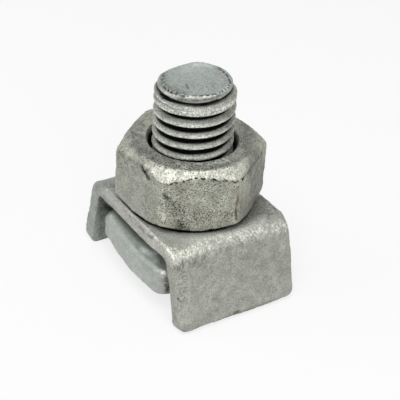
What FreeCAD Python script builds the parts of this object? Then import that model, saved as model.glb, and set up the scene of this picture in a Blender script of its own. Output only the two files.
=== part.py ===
import FreeCAD, Part
import math
import os
import Sketcher

# Saddle bolt clamp: a folded steel saddle, a bolt whose square head is held between
# the saddle's legs, and a hexagon nut that draws the head up to the plate.
# +Z runs up the bolt. The origin is on the bolt's axis, on the plane of the leg tips.
# X runs across the channel from leg to leg, Y runs along the channel.

os.makedirs("parts", exist_ok=True)
document = FreeCAD.newDocument("SaddleBoltClamp")
vector = FreeCAD.Vector

# Driving sizes in millimetres and degrees
drivingSizes = {
    # bolt
    "threadDiameter": 11.86,
    "boltStandout": 9.5,
    "endChamferWidth": 0.7,
    "endChamferHeight": 1.3,
    "neckChamfer": 0.5,
    "headThickness": 4.0,
    "headGap": 2.8,
    "headSideClearance": 0.5,
    "headProud": 0.45,
    "headBulgeDepth": 0.8,
    "headCornerRadius": 1.6,
    "headTopRadius": 0.8,
    "headBottomChamfer": 0.5,
    "headTurn": -3.0,
    # folded saddle
    "plateThickness": 2.2,
    "innerBendRadius": 1.1,
    "saddleHeight": 12.3,
    "holeClearance": 0.82,
    "landLeft": 1.75,
    "landRight": 2.05,
    "landEnds": 2.95,
    "splayLeft": 11.0,
    "splayRight": 15.5,
    "nearCornerRadius": 1.3,
    "farCornerRadius": 2.3,
    "sheetEdgeRadius": 0.35,
    # nut
    "nutWall": 3.57,
    "nutHeight": 10.0,
    "nutCornerRadius": 0.7,
    "nutChamferInset": 0.7,
    "nutChamferAngle": 42.0,
    "threadClearance": 0.07,
    "countersinkDepth": 0.6,
    "nutTurn": 6.0,
}

# Sizes that follow from the driving ones: the hole clears the bolt, the plate leaves
# a land of flat metal round the hole, the head fits between the bends and stands a
# little proud of the plate's ends, and the nut's wall is counted from the thread.
followingSizes = {
    "holeDiameter": "=threadDiameter + 2 * holeClearance",
    "flatLeft": "=holeDiameter / 2 + landLeft",
    "flatRight": "=holeDiameter / 2 + landRight",
    "saddleLength": "=holeDiameter + 2 * landEnds",
    "headWidth": "=2 * (min(flatLeft; flatRight) + innerBendRadius - headSideClearance)",
    "headLength": "=saddleLength + 2 * headProud",
    "headSideRadius": "=((headWidth / 2) ^ 2 + headBulgeDepth ^ 2) / (2 * headBulgeDepth)",
    "nutAcrossFlats": "=threadDiameter + 2 * nutWall",
    "nutFaceDiameter": "=nutAcrossFlats - 2 * nutChamferInset",
}

sheet = document.addObject("Spreadsheet::Sheet", "Sizes")
for row, (alias, content) in enumerate({**drivingSizes, **followingSizes}.items(), start=1):
    sheet.set("A%d" % row, alias)
    sheet.set("B%d" % row, str(content))
    sheet.setAlias("B%d" % row, alias)
document.recompute()


def size(alias):
    """Value of one driving size, read back from the sheet."""
    return float(sheet.get(alias))


def originPlane(body, role):
    """The body's own origin plane with this role."""
    return next(plane for plane in body.Origin.OriginFeatures if plane.Role == role)


def addBody(label):
    """A new body whose label is the name of its node."""
    body = document.addObject("PartDesign::Body", label.title().replace("_", ""))
    body.Label = label
    return body


def addSketch(body, name, role):
    """A sketch on one of the body's origin planes."""
    sketch = body.newObject("Sketcher::SketchObject", name)
    sketch.AttachmentSupport = [(originPlane(body, role), "")]
    sketch.MapMode = "FlatFace"
    return sketch


def addLoop(sketch, points):
    """A closed run of straight lines through the points, joined end to end."""
    first = sketch.GeometryCount
    count = len(points)
    for index, point in enumerate(points):
        following = points[(index + 1) % count]
        sketch.addGeometry(Part.LineSegment(vector(*point, 0), vector(*following, 0)), False)
    for index in range(count):
        following = first + (index + 1) % count
        sketch.addConstraint(Sketcher.Constraint("Coincident", first + index, 2, following, 1))
    return first


def bindConstraint(sketch, constraint, name, expression):
    """Add a dimension to the sketch and tie it to the sheet."""
    index = sketch.addConstraint(constraint)
    sketch.renameConstraint(index, name)
    sketch.setExpression("Constraints." + name, expression)


def edgeNames(feature, wanted):
    """Names of the feature's edges that pass the test."""
    return ["Edge%d" % number for number, edge in enumerate(feature.Shape.Edges, start=1) if wanted(edge)]


def addFillet(body, base, name, edges, expression):
    """Round the chosen edges of the base feature."""
    fillet = body.newObject("PartDesign::Fillet", name)
    fillet.Base = (base, edges)
    fillet.setExpression("Radius", expression)
    document.recompute()
    return fillet


def addChamfer(body, base, name, edges, expression):
    """Break the chosen edges of the base feature at 45 degrees."""
    chamfer = body.newObject("PartDesign::Chamfer", name)
    chamfer.Base = (base, edges)
    chamfer.setExpression("Size", expression)
    document.recompute()
    return chamfer


# How a sketch numbers its own origin, its axes and the centre of a circle or arc
origin = (-1, 1)
horizontalIndex = -1
verticalIndex = -2
centreIndex = 3

# Two heights or lengths closer than this are the same one
closeEnough = 0.001


def spansHeights(edge, low, high):
    """True for an edge whose ends lie at these two heights."""
    heights = sorted(vertex.Point.z for vertex in edge.Vertexes)
    return len(heights) == 2 and abs(heights[0] - low) < closeEnough and abs(heights[1] - high) < closeEnough


def liesAtHeight(edge, height):
    """True for an edge that lies wholly in the level plane at this height."""
    box = edge.BoundBox
    return abs(box.ZMin - height) < closeEnough and abs(box.ZMax - height) < closeEnough


# Saddle: one plate folded down on both sides. Each leg leans outwards and is cut
# square to itself, so it stands on the inner edge of its end.
def makeSaddle():
    body = addBody("saddle")
    section = addSketch(body, "folded_section", "XZ_Plane")
    top = size("saddleHeight")
    inner = size("innerBendRadius")
    outer = inner + size("plateThickness")

    def legPoints(side, flat, splay):
        """Centre of the bend, the two ends of its arcs and the two corners of the tip."""
        lean = math.radians(splay)
        outward = (side * math.cos(lean), math.sin(lean))
        along = (side * math.sin(lean), -math.cos(lean))
        centre = (side * flat, top - outer)
        legLength = (centre[1] + inner * outward[1]) / math.cos(lean)

        def moved(point, direction, distance):
            return point[0] + distance * direction[0], point[1] + distance * direction[1]

        starts = [moved(centre, outward, radius) for radius in (outer, inner)]
        tips = [moved(start, along, legLength) for start in starts]
        return centre, starts, tips

    def addLine(start, end):
        return section.addGeometry(Part.LineSegment(vector(*start, 0), vector(*end, 0)), False)

    def addArc(centre, radius, fromDegrees, toDegrees):
        circle = Part.Circle(vector(*centre, 0), vector(0, 0, 1), radius)
        arc = Part.ArcOfCircle(circle, math.radians(fromDegrees), math.radians(toDegrees))
        return section.addGeometry(arc, False)

    leftFlat, rightFlat = size("flatLeft"), size("flatRight")
    leftSplay, rightSplay = size("splayLeft"), size("splayRight")
    leftCentre, leftStarts, leftTips = legPoints(-1, leftFlat, leftSplay)
    rightCentre, rightStarts, rightTips = legPoints(1, rightFlat, rightSplay)
    underside = top - size("plateThickness")

    topLine = addLine((-leftFlat, top), (rightFlat, top))
    rightOuterBend = addArc(rightCentre, outer, rightSplay, 90)
    rightOuterLeg = addLine(rightStarts[0], rightTips[0])
    rightTip = addLine(rightTips[0], rightTips[1])
    rightInnerLeg = addLine(rightTips[1], rightStarts[1])
    rightInnerBend = addArc(rightCentre, inner, rightSplay, 90)
    underLine = addLine((rightFlat, underside), (-leftFlat, underside))
    leftInnerBend = addArc(leftCentre, inner, 90, 180 - leftSplay)
    leftInnerLeg = addLine(leftStarts[1], leftTips[1])
    leftTip = addLine(leftTips[1], leftTips[0])
    leftOuterLeg = addLine(leftTips[0], leftStarts[0])
    leftOuterBend = addArc(leftCentre, outer, 90, 180 - leftSplay)

    tangentEnds = [
        (topLine, 2, rightOuterBend, 2),
        (rightOuterBend, 1, rightOuterLeg, 1),
        (rightInnerLeg, 2, rightInnerBend, 1),
        (rightInnerBend, 2, underLine, 1),
        (underLine, 2, leftInnerBend, 1),
        (leftInnerBend, 2, leftInnerLeg, 1),
        (leftOuterLeg, 2, leftOuterBend, 2),
        (leftOuterBend, 1, topLine, 1),
    ]
    for ends in tangentEnds:
        section.addConstraint(Sketcher.Constraint("Tangent", *ends))
    sharedEnds = [
        (rightOuterLeg, 2, rightTip, 1),
        (rightTip, 2, rightInnerLeg, 1),
        (leftInnerLeg, 2, leftTip, 1),
        (leftTip, 2, leftOuterLeg, 1),
        (rightOuterBend, centreIndex, rightInnerBend, centreIndex),
        (leftOuterBend, centreIndex, leftInnerBend, centreIndex),
    ]
    for ends in sharedEnds:
        section.addConstraint(Sketcher.Constraint("Coincident", *ends))
    section.addConstraint(Sketcher.Constraint("Horizontal", topLine))
    section.addConstraint(Sketcher.Constraint("Parallel", rightOuterLeg, rightInnerLeg))
    section.addConstraint(Sketcher.Constraint("Parallel", leftOuterLeg, leftInnerLeg))
    section.addConstraint(Sketcher.Constraint("Perpendicular", rightTip, rightOuterLeg))
    section.addConstraint(Sketcher.Constraint("Perpendicular", leftTip, leftOuterLeg))
    section.addConstraint(Sketcher.Constraint("Equal", rightOuterBend, leftOuterBend))
    section.addConstraint(Sketcher.Constraint("Equal", rightInnerBend, leftInnerBend))
    section.addConstraint(Sketcher.Constraint("PointOnObject", rightTip, 2, horizontalIndex))
    section.addConstraint(Sketcher.Constraint("PointOnObject", leftTip, 1, horizontalIndex))
    bindConstraint(section, Sketcher.Constraint("Radius", rightOuterBend, outer), "outerBend",
                   "Sizes.innerBendRadius + Sizes.plateThickness")
    bindConstraint(section, Sketcher.Constraint("Radius", rightInnerBend, inner), "innerBend",
                   "Sizes.innerBendRadius")
    bindConstraint(section, Sketcher.Constraint("DistanceY", *origin, topLine, 1, top), "height",
                   "Sizes.saddleHeight")
    bindConstraint(section, Sketcher.Constraint("DistanceX", topLine, 1, *origin, leftFlat), "flatToLeft",
                   "Sizes.flatLeft")
    bindConstraint(section, Sketcher.Constraint("DistanceX", *origin, topLine, 2, rightFlat), "flatToRight",
                   "Sizes.flatRight")
    bindConstraint(section, Sketcher.Constraint("Angle", rightOuterLeg, math.radians(rightSplay - 90)),
                   "leanRight", "(Sizes.splayRight - 90) * 1 deg")
    bindConstraint(section, Sketcher.Constraint("Angle", leftOuterLeg, math.radians(90 - leftSplay)),
                   "leanLeft", "(90 - Sizes.splayLeft) * 1 deg")

    fold = body.newObject("PartDesign::Pad", "fold")
    fold.Profile = section
    fold.Midplane = True
    fold.setExpression("Length", "Sizes.saddleLength")
    document.recompute()

    halfLength = size("saddleLength") / 2

    def isOnEnd(edge, end):
        box = edge.BoundBox
        offset = max(abs(box.YMin - end * halfLength), abs(box.YMax - end * halfLength))
        return offset < closeEnough

    # Corners of the legs, rounded through the thickness of the plate
    tipTop = size("plateThickness") * math.sin(math.radians(max(leftSplay, rightSplay)))

    def isTipEdge(edge, end):
        return isOnEnd(edge, end) and edge.BoundBox.ZMax < tipTop + closeEnough

    near = addFillet(body, fold, "near_corners", edgeNames(fold, lambda edge: isTipEdge(edge, -1)),
                     "Sizes.nearCornerRadius")
    far = addFillet(body, near, "far_corners", edgeNames(near, lambda edge: isTipEdge(edge, 1)),
                    "Sizes.farCornerRadius")

    # Clearance hole for the bolt
    circle = addSketch(body, "bolt_hole_circle", "XY_Plane")
    radius = size("holeDiameter") / 2
    ring = circle.addGeometry(Part.Circle(vector(0, 0, 0), vector(0, 0, 1), radius), False)
    circle.addConstraint(Sketcher.Constraint("Coincident", ring, centreIndex, *origin))
    bindConstraint(circle, Sketcher.Constraint("Diameter", ring, 2 * radius), "hole",
                   "Sizes.holeDiameter")
    hole = body.newObject("PartDesign::Pocket", "bolt_hole")
    hole.Profile = circle
    hole.Type = "ThroughAll"
    hole.Midplane = True
    document.recompute()

    # The zinc leaves every edge of the cut outline soft
    outlineEdges = edgeNames(hole, lambda edge: isOnEnd(edge, -1) or isOnEnd(edge, 1))
    addFillet(body, hole, "soft_outline", outlineEdges, "Sizes.sheetEdgeRadius")
    return body


# Bolt: a flat square head with slightly bulged near and far sides, and a round shank
# at the outer diameter of its thread with a chamfered end.
def makeBolt():
    body = addBody("bolt")
    halfWidth = size("headWidth") / 2
    halfCorner = size("headLength") / 2 - size("headBulgeDepth")
    bulge = size("headBulgeDepth")
    sideRadius = size("headSideRadius")
    thickness = size("headThickness")

    outline = addSketch(body, "head_outline", "XY_Plane")
    centreOffset = halfCorner + bulge - sideRadius
    spread = math.asin(halfWidth / sideRadius)

    def addSide(side):
        circle = Part.Circle(vector(0, side * centreOffset, 0), vector(0, 0, 1), sideRadius)
        middle = side * math.pi / 2
        return outline.addGeometry(Part.ArcOfCircle(circle, middle - spread, middle + spread), False)

    nearSide = addSide(-1)
    farSide = addSide(1)
    right = outline.addGeometry(
        Part.LineSegment(vector(halfWidth, -halfCorner, 0), vector(halfWidth, halfCorner, 0)), False)
    left = outline.addGeometry(
        Part.LineSegment(vector(-halfWidth, halfCorner, 0), vector(-halfWidth, -halfCorner, 0)), False)
    sides = [nearSide, right, farSide, left]
    for side, following in zip(sides, sides[1:] + sides[:1]):
        outline.addConstraint(Sketcher.Constraint("Coincident", side, 2, following, 1))
    outline.addConstraint(Sketcher.Constraint("Symmetric", left, 2, right, 1, verticalIndex))
    outline.addConstraint(Sketcher.Constraint("Symmetric", left, 1, right, 2, verticalIndex))
    outline.addConstraint(Sketcher.Constraint("Symmetric", right, 1, right, 2, horizontalIndex))
    outline.addConstraint(Sketcher.Constraint("Equal", nearSide, farSide))
    bindConstraint(outline, Sketcher.Constraint("DistanceX", left, 2, right, 1, 2 * halfWidth), "width",
                   "Sizes.headWidth")
    bindConstraint(outline, Sketcher.Constraint("DistanceY", right, 1, right, 2, 2 * halfCorner),
                   "cornerSpan", "Sizes.headLength - 2 * Sizes.headBulgeDepth")
    bindConstraint(outline, Sketcher.Constraint("Radius", nearSide, sideRadius), "sideRadius",
                   "Sizes.headSideRadius")

    head = body.newObject("PartDesign::Pad", "head")
    head.Profile = outline
    head.setExpression("Length", "Sizes.headThickness")
    document.recompute()
    upright = edgeNames(head, lambda edge: spansHeights(edge, 0, thickness))
    corners = addFillet(body, head, "head_corners", upright, "Sizes.headCornerRadius")
    upper = edgeNames(corners, lambda edge: liesAtHeight(edge, thickness))
    topEdges = addFillet(body, corners, "head_top_edge", upper, "Sizes.headTopRadius")
    lower = edgeNames(topEdges, lambda edge: liesAtHeight(edge, 0))
    addChamfer(body, topEdges, "head_bottom_edge", lower, "Sizes.headBottomChamfer")

    # Half section of the shank, from inside the head to the chamfered end
    radius = size("threadDiameter") / 2
    bearingToNutTop = size("headGap") + size("plateThickness") + size("nutHeight")
    boltEnd = thickness + bearingToNutTop + size("boltStandout")
    chamferStart = boltEnd - size("endChamferHeight")
    endRadius = radius - size("endChamferWidth")
    foot = thickness / 2
    profile = addSketch(body, "shank_section", "XZ_Plane")
    halfSection = [(0, foot), (radius, foot), (radius, chamferStart), (endRadius, boltEnd), (0, boltEnd)]
    first = addLoop(profile, halfSection)
    bottom, wall, chamfer, endFace, axis = range(first, first + len(halfSection))
    profile.addConstraint(Sketcher.Constraint("Horizontal", bottom))
    profile.addConstraint(Sketcher.Constraint("Vertical", wall))
    profile.addConstraint(Sketcher.Constraint("Horizontal", endFace))
    profile.addConstraint(Sketcher.Constraint("PointOnObject", axis, 1, verticalIndex))
    profile.addConstraint(Sketcher.Constraint("PointOnObject", axis, 2, verticalIndex))
    bindConstraint(profile, Sketcher.Constraint("DistanceY", *origin, bottom, 1, foot), "foot",
                   "Sizes.headThickness / 2")
    bindConstraint(profile, Sketcher.Constraint("DistanceX", bottom, 1, bottom, 2, radius), "shankRadius",
                   "Sizes.threadDiameter / 2")
    bindConstraint(profile, Sketcher.Constraint("DistanceY", *origin, endFace, 1, boltEnd), "boltEnd",
                   "Sizes.headThickness + Sizes.headGap + Sizes.plateThickness"
                   " + Sizes.nutHeight + Sizes.boltStandout")
    bindConstraint(profile, Sketcher.Constraint("DistanceX", chamfer, 2, chamfer, 1, radius - endRadius),
                   "chamferWidth", "Sizes.endChamferWidth")
    bindConstraint(profile, Sketcher.Constraint("DistanceY", chamfer, 1, chamfer, 2, boltEnd - chamferStart),
                   "chamferHeight", "Sizes.endChamferHeight")
    shank = body.newObject("PartDesign::Revolution", "shank")
    shank.Profile = profile
    shank.ReferenceAxis = (profile, ["V_Axis"])
    shank.Angle = 360
    document.recompute()

    def isNeck(edge):
        return liesAtHeight(edge, thickness) and abs(edge.BoundBox.XMax - radius) < closeEnough

    addChamfer(body, shank, "neck", edgeNames(shank, isNeck), "Sizes.neckChamfer")

    body.setExpression("Placement.Base.z", "Sizes.saddleHeight - Sizes.plateThickness - Sizes.headGap"
                       " - Sizes.headThickness")
    body.setExpression("Placement.Rotation.Yaw", "Sizes.headTurn * 1 deg")
    return body


# Nut: a hexagon with a chamfer at both faces, standing on the plate. Its bore clears
# the outer diameter of the bolt's thread and is countersunk at both ends.
def makeNut():
    body = addBody("nut")
    height = size("nutHeight")
    cornerRadius = size("nutAcrossFlats") / 2 / math.cos(math.radians(30))

    outline = addSketch(body, "hexagon", "XY_Plane")
    corners = []
    for index in range(6):
        angle = math.radians(60 * index)
        corners.append((cornerRadius * math.cos(angle), cornerRadius * math.sin(angle)))
    first = addLoop(outline, corners)
    guide = outline.addGeometry(Part.Circle(vector(0, 0, 0), vector(0, 0, 1), cornerRadius), True)
    outline.addConstraint(Sketcher.Constraint("Coincident", guide, centreIndex, *origin))
    for side in range(first, first + 6):
        outline.addConstraint(Sketcher.Constraint("PointOnObject", side, 1, guide))
    for side in range(first + 1, first + 6):
        outline.addConstraint(Sketcher.Constraint("Equal", first, side))
    outline.addConstraint(Sketcher.Constraint("PointOnObject", first, 1, horizontalIndex))
    bindConstraint(outline, Sketcher.Constraint("Radius", guide, cornerRadius), "cornerCircle",
                   "Sizes.nutAcrossFlats / 2 / cos(30 deg)")
    prism = body.newObject("PartDesign::Pad", "prism")
    prism.Profile = outline
    prism.setExpression("Length", "Sizes.nutHeight")
    document.recompute()
    upright = edgeNames(prism, lambda edge: spansHeights(edge, 0, height))
    rounded = addFillet(body, prism, "hexagon_corners", upright, "Sizes.nutCornerRadius")

    # Conical chamfers that cut the corners of the hexagon at both faces
    cutters = addSketch(body, "chamfer_section", "XZ_Plane")
    faceRadius = size("nutFaceDiameter") / 2
    slope = math.radians(size("nutChamferAngle"))
    reach = size("nutAcrossFlats")
    drop = (reach - faceRadius) * math.tan(slope)
    for name, face, inward in (("top", height, -1), ("bottom", 0, 1)):
        first = addLoop(cutters, [(faceRadius, face), (reach, face), (reach, face + inward * drop)])
        level, outside, cone = range(first, first + 3)
        cutters.addConstraint(Sketcher.Constraint("Horizontal", level))
        cutters.addConstraint(Sketcher.Constraint("Vertical", outside))
        bindConstraint(cutters, Sketcher.Constraint("DistanceX", *origin, level, 1, faceRadius),
                       name + "FaceRadius", "Sizes.nutFaceDiameter / 2")
        bindConstraint(cutters, Sketcher.Constraint("DistanceX", *origin, level, 2, reach),
                       name + "Reach", "Sizes.nutAcrossFlats")
        bindConstraint(cutters, Sketcher.Constraint("Angle", cone, math.pi + inward * slope),
                       name + "Slope", "(180 + %d * Sizes.nutChamferAngle) * 1 deg" % inward)
        if face:
            bindConstraint(cutters, Sketcher.Constraint("DistanceY", *origin, level, 1, height),
                           name + "Height", "Sizes.nutHeight")
        else:
            cutters.addConstraint(Sketcher.Constraint("PointOnObject", level, 1, horizontalIndex))
    chamfers = body.newObject("PartDesign::Groove", "face_chamfers")
    chamfers.Profile = cutters
    chamfers.ReferenceAxis = (cutters, ["V_Axis"])
    chamfers.Angle = 360
    document.recompute()
    if chamfers.Shape.Volume > rounded.Shape.Volume - closeEnough:
        raise ValueError("the face chamfers cut nothing off the hexagon")

    circle = addSketch(body, "bore_circle", "XY_Plane")
    radius = size("threadDiameter") / 2 + size("threadClearance")
    ring = circle.addGeometry(Part.Circle(vector(0, 0, 0), vector(0, 0, 1), radius), False)
    circle.addConstraint(Sketcher.Constraint("Coincident", ring, centreIndex, *origin))
    bindConstraint(circle, Sketcher.Constraint("Radius", ring, radius), "bore",
                   "Sizes.threadDiameter / 2 + Sizes.threadClearance")
    bore = body.newObject("PartDesign::Pocket", "bore")
    bore.Profile = circle
    bore.Type = "ThroughAll"
    bore.Midplane = True
    document.recompute()

    def isBoreRim(edge):
        onFace = liesAtHeight(edge, 0) or liesAtHeight(edge, height)
        return onFace and abs(edge.BoundBox.XMax - radius) < closeEnough

    addChamfer(body, bore, "countersinks", edgeNames(bore, isBoreRim), "Sizes.countersinkDepth")
    body.setExpression("Placement.Base.z", "Sizes.saddleHeight")
    body.setExpression("Placement.Rotation.Yaw", "Sizes.nutTurn * 1 deg")
    return body


pieces = [makeSaddle(), makeBolt(), makeNut()]
document.recompute()

for item in document.Objects:
    if {"Invalid", "Error"} & set(item.State):
        raise RuntimeError("%s did not build: %s" % (item.Label, item.State))
    if item.TypeId == "Sketcher::SketchObject" and item.solve() != 0:
        raise RuntimeError("sketch %s does not solve" % item.Label)
for piece in pieces:
    shape = piece.Shape
    if shape.isNull() or not shape.isValid() or len(shape.Solids) != 1:
        raise RuntimeError("%s is not one valid solid" % piece.Label)

for piece in pieces:
    piece.Shape.exportStep("parts/%s.step" % piece.Label)
    print("%s: %.1f mm3" % (piece.Label, piece.Shape.Volume))
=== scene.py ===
import math
import bmesh
import bpy
import numpy as np
from mathutils import Matrix, Vector


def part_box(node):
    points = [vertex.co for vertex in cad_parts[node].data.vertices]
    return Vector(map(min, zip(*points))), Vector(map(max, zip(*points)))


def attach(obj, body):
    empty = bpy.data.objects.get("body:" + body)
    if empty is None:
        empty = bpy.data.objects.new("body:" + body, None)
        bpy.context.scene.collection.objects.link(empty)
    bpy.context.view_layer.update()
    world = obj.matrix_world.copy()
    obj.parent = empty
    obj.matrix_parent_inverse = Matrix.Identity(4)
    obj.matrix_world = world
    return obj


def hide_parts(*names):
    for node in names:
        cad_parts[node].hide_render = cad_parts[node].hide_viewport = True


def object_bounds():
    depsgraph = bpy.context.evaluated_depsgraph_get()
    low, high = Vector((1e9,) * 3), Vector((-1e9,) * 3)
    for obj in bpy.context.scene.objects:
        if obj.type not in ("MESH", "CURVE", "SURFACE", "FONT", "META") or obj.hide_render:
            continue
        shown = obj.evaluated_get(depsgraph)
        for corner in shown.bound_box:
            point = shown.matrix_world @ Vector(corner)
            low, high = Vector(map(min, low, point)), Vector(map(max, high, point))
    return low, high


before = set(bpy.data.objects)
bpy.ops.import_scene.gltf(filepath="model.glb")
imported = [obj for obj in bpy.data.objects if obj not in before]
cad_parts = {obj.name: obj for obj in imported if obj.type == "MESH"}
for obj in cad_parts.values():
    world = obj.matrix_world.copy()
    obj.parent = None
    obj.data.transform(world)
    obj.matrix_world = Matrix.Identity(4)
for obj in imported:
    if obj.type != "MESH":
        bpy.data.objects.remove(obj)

cadLow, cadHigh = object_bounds()
print("frame loaded:", sorted(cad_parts))

mm = 0.001                # sizes below are in millimetres, meshes are written in metres
fullTurn = 2 * np.pi
imageSize = 400           # the photograph's width and height in pixels


# A node's lowest and highest corner, in millimetres.
def boxInMm(node):
    low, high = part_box(node)
    return np.array(low) / mm, np.array(high) / mm


boxes = {node: boxInMm(node) for node in ("saddle", "bolt", "nut")}
headFoot, boltTop = (corner[2] for corner in boxes["bolt"])
plateTop, nutTop = (corner[2] for corner in boxes["nut"])      # the nut stands on the plate

# The camera stands where the photograph's did: in front and to the right, looking down on the
# clamp, and a little rolled.
view = {"azimuth": 55.84, "elevation": 32.3, "roll": 3.62, "distance": 210.09, "aimHeight": 16.3,
        "lens": 131.4, "sensor": 36, "shiftX": 0.0241, "shiftY": -0.0674}

# The thread is right-handed. Its crest passes through crestHeight at crestAngle.
thread = {"pitch": 1.75, "crestRadius": 5.82, "depth": 0.95, "crestHeight": 29.18, "crestAngle": -34.2,
          "crestShare": 0.2, "rootShare": 0.16, "softness": 0.35, "stepsPerTurn": 14, "room": 0.07,
          "boreRadius": 5.2}

# A mark is its width in pixels, its strength, the size in millimetres of the grain that breaks it
# up, or 0, and its line in the photograph's pixels. It shows where a surface faces the camera by
# more than grazing.
marking = {"grazing": 0.03, "grainSeed": 71, "grainSpan": (-0.7, 0.7)}


# A smooth uneven field: the sum of plane waves with random directions and phases, each
# roughly grain millimetres long, scaled so that it mostly stays between -1 and 1.
def unevenField(points, grain, seed, waves=28, spread=(0.55, 1.7)):
    draw = np.random.default_rng(seed)
    directions = draw.normal(size=(waves, 3))
    directions /= np.linalg.norm(directions, axis=1, keepdims=True)
    numbers = fullTurn / grain * draw.uniform(*spread, waves)
    phases = draw.uniform(0, fullTurn, waves)
    heights = np.sin(points @ (directions * numbers[:, None]).T + phases)
    return heights.sum(axis=1) / math.sqrt(waves)


# An uneven amount: its level plus its swing times the uneven field of its size.
def unevenAmount(points, amount):
    return amount["level"] + amount["swing"] * unevenField(points, amount["size"], amount["seed"])


# 0 below low, 1 above high, and the cubic 3t^2 - 2t^3 between them. With high below low it falls.
def ramp(values, low, high):
    t = np.clip((values - low) / (high - low), 0, 1)
    return t * t * (3 - 2 * t)


# 1 at the middle, falling off as a bell curve of the given width.
def bell(distance, width):
    return np.exp(-(distance / width) ** 2)


# The direction at an azimuth and elevation in degrees. Azimuth 0 is in front, at -Y.
def directionAt(azimuth, elevation):
    azimuth, elevation = math.radians(azimuth), math.radians(elevation)
    level = math.cos(elevation)
    return np.array([math.sin(azimuth) * level, -math.cos(azimuth) * level, math.sin(elevation)])


# The camera's three axes: to the right in the picture, up in it, and back from the clamp.
def viewAxes():
    azimuth, roll = math.radians(view["azimuth"]), math.radians(view["roll"])
    level = np.array([math.cos(azimuth), math.sin(azimuth), 0])
    back = directionAt(view["azimuth"], view["elevation"])
    upright = np.cross(back, level)
    right = level * math.cos(roll) + upright * math.sin(roll)
    up = upright * math.cos(roll) - level * math.sin(roll)
    return right, up, back


# Where each point falls in the photograph, as its column and row in pixels.
def pixelsOf(points):
    right, up, back = viewAxes()
    offset = points - np.array([0, 0, view["aimHeight"]])
    scale = imageSize * view["lens"] / view["sensor"] / (view["distance"] - offset @ back)
    column = imageSize / 2 - imageSize * view["shiftX"] + scale * (offset @ right)
    row = imageSize / 2 + imageSize * view["shiftY"] - scale * (offset @ up)
    return np.stack([column, row], axis=1)


# One mark: its strength times a bell curve of each point's distance from the broken line, and
# times the ramp of an uneven field where the mark has a grain.
def markOn(points, pixels, mark):
    width, strength, grain, line = mark
    places = np.array(line, float)
    nearest = np.full(len(points), np.inf)
    for start, end in zip(places[:-1], places[1:]):
        along = end - start
        share = np.clip((pixels - start) @ along / (along @ along), 0, 1)
        nearest = np.minimum(nearest, np.linalg.norm(pixels - start - share[:, None] * along, axis=1))
    values = strength * bell(nearest, width)
    if grain:
        values *= ramp(unevenField(points, grain, marking["grainSeed"]), *marking["grainSpan"])
    return values


# The layers that the material reads: for each kind, its marks added up on the surfaces that the
# photograph shows, and 0 elsewhere.
def marksOn(points, normals, marks):
    pixels = pixelsOf(points)
    seen = normals @ viewAxes()[2] > marking["grazing"]
    layers = {}
    for kind in ("shineAndHighlight", "glow", "cool", "grimeAndShade", "dirt", "rust", "sootAndShadow"):
        drawn = [markOn(points, pixels, mark) for mark in marks.get(kind, {}).values()]
        layers[kind] = seen * sum(drawn, np.zeros(len(points)))
    return layers


# A path of straight stretches whose corners are rounded by parabolas: each corner is left
# cut millimetres before it and joined again as far past it. Every corner is an array of
# points, one for each column of the surface, so one call rounds all columns at once.
def roundedPath(corners, cuts, straightSteps, roundSteps, closed=False):
    stretches = []
    last = len(corners) - 1
    for index, here in enumerate(corners):
        leaving = here
        if closed or 0 < index < last:
            before = corners[index - 1] - here
            after = corners[(index + 1) % len(corners)] - here
            arriving = here + before * (cuts[index] / np.linalg.norm(before, axis=-1, keepdims=True))
            leaving = here + after * (cuts[index] / np.linalg.norm(after, axis=-1, keepdims=True))
            t = np.linspace(0, 1, roundSteps)[:, None, None]
            stretches.append((1 - t) ** 2 * arriving + 2 * t * (1 - t) * here + t * t * leaving)
        else:
            stretches.append(here[None])
        if closed or index < last:
            there = corners[(index + 1) % len(corners)]
            ahead = (there - here) / np.linalg.norm(there - here, axis=-1, keepdims=True)
            nextCut = cuts[(index + 1) % len(corners)] if closed or index + 1 < last else 0
            reach = there - ahead * nextCut
            t = np.linspace(0, 1, straightSteps[index] + 2)[1:-1, None, None]
            stretches.append(leaving + (reach - leaving) * t)
    return np.concatenate(stretches)


# A closed flat polygon with rounded corners, as a dense loop of points.
def roundedPolygon(corners, cuts, straightSteps=200, roundSteps=60):
    stacked = [np.array(corner, float)[None] for corner in corners]
    steps = [straightSteps] * len(corners)
    return roundedPath(stacked, cuts, steps, roundSteps, closed=True)[:, 0, :]


# The same loop read off at even steps of its length, with its first point again at the end.
def evenLoop(loop, count):
    closed = np.vstack([loop, loop[:1]])
    travelled = np.concatenate([[0], np.cumsum(np.linalg.norm(np.diff(closed, axis=0), axis=1))])
    stops = np.linspace(0, travelled[-1], count + 1)
    return np.stack([np.interp(stops, travelled, closed[:, axis]) for axis in (0, 1)], axis=1)


# The loop's radius at each angle about the origin, read off between its points.
def polarRadius(loop, angles):
    around = np.arctan2(loop[:, 1], loop[:, 0])
    order = np.argsort(around)
    return np.interp(angles, around[order], np.linalg.norm(loop, axis=1)[order], period=fullTurn)


# Outward normals of a closed loop whose last point repeats its first, by central differences.
def loopNormals(loop):
    ahead = np.roll(loop[:-1], -1, axis=0) - np.roll(loop[:-1], 1, axis=0)
    normals = np.stack([ahead[:, 1], -ahead[:, 0]], axis=1) / np.linalg.norm(ahead, axis=1, keepdims=True)
    return np.vstack([normals, normals[:1]])


# A flat loop turned about the origin.
def turned(loop, degrees):
    angle = math.radians(degrees)
    return loop @ np.array([[math.cos(angle), math.sin(angle)], [-math.sin(angle), math.cos(angle)]])


# The angle from a direction in degrees, between minus and plus half a turn.
def angleFrom(angle, degrees):
    return (angle - math.radians(degrees) + np.pi) % fullTurn - np.pi


# A row of the surface: a loop of flat points at one height or at a height for each point.
def rowAt(flat, height):
    return np.concatenate([flat, np.broadcast_to(height, (len(flat),))[:, None]], axis=1)


quarter = np.linspace(0, math.pi / 2, 7)
quarterSteps = list(zip(np.sin(quarter), np.cos(quarter)))[1:]     # sine and cosine of each step


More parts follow.
